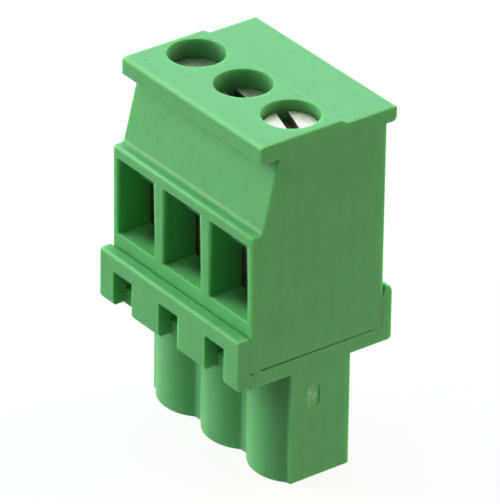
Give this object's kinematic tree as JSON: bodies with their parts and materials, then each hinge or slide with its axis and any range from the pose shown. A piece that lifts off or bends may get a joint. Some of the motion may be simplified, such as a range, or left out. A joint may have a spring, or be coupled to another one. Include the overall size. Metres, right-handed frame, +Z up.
{
  "type": "pluggable terminal block",
  "caption": "Pluggable screw terminal block: a moulded clamp housing with wire windows, slotted screws and rising cages, standing on a ribbed plug with forked pin contacts.",
  "frame": {"origin": "middle of the block's footprint, on the plane of the plug's end face", "axes": "+X along the row of poles, -Y the side where the wires enter, +Z up, away from the header"},
  "size_m": [0.0152, 0.0126, 0.026],
  "materials": {
    "housing": "satin moulded",
    "screw": "zinc plated",
    "cage": "nickel plated",
    "contact": "tin plated",
    "spring": "bare spring steel"
  },
  "bodies": {
    "block": {"clamp_housing": "housing", "plug_housing": "housing", "contact_1": "contact", "contact_2": "contact", "contact_3": "contact", "contact_spring_1": "spring", "contact_spring_2": "spring", "contact_spring_3": "spring"},
    "screw_1": {"clamp_screw_1": "screw"},
    "cage_1": {"clamp_cage_1": "cage"},
    "screw_2": {"clamp_screw_2": "screw"},
    "cage_2": {"clamp_cage_2": "cage"},
    "screw_3": {"clamp_screw_3": "screw"},
    "cage_3": {"clamp_cage_3": "cage"}
  },
  "joints": [
    {"name": "screw_turn_1", "type": "hinge", "parent": "block", "child": "screw_1", "pos_m": [-0.00508, -0.0004, 0.02338], "axis": [0, 0, -1], "range_deg": [0, 2592.1]},
    {"name": "screw_turn_2", "type": "hinge", "parent": "block", "child": "screw_2", "pos_m": [0, -0.0004, 0.02338], "axis": [0, 0, -1], "range_deg": [0, 2592.1]},
    {"name": "screw_turn_3", "type": "hinge", "parent": "block", "child": "screw_3", "pos_m": [0.00508, -0.0004, 0.02338], "axis": [0, 0, -1], "range_deg": [0, 2592.1]},
    {"name": "cage_lift_1", "type": "slide", "parent": "block", "child": "cage_1", "axis": [0, 0, 1], "range_m": [0, 0.0036]},
    {"name": "cage_lift_2", "type": "slide", "parent": "block", "child": "cage_2", "axis": [0, 0, 1], "range_m": [0, 0.0036]},
    {"name": "cage_lift_3", "type": "slide", "parent": "block", "child": "cage_3", "axis": [0, 0, 1], "range_m": [0, 0.0036]}
  ],
  "couplings": [
    {"joint": "screw_turn_1", "follows": "cage_lift_1", "rad_per_m": 12566},
    {"joint": "screw_turn_2", "follows": "cage_lift_2", "rad_per_m": 12566},
    {"joint": "screw_turn_3", "follows": "cage_lift_3", "rad_per_m": 12566}
  ]
}
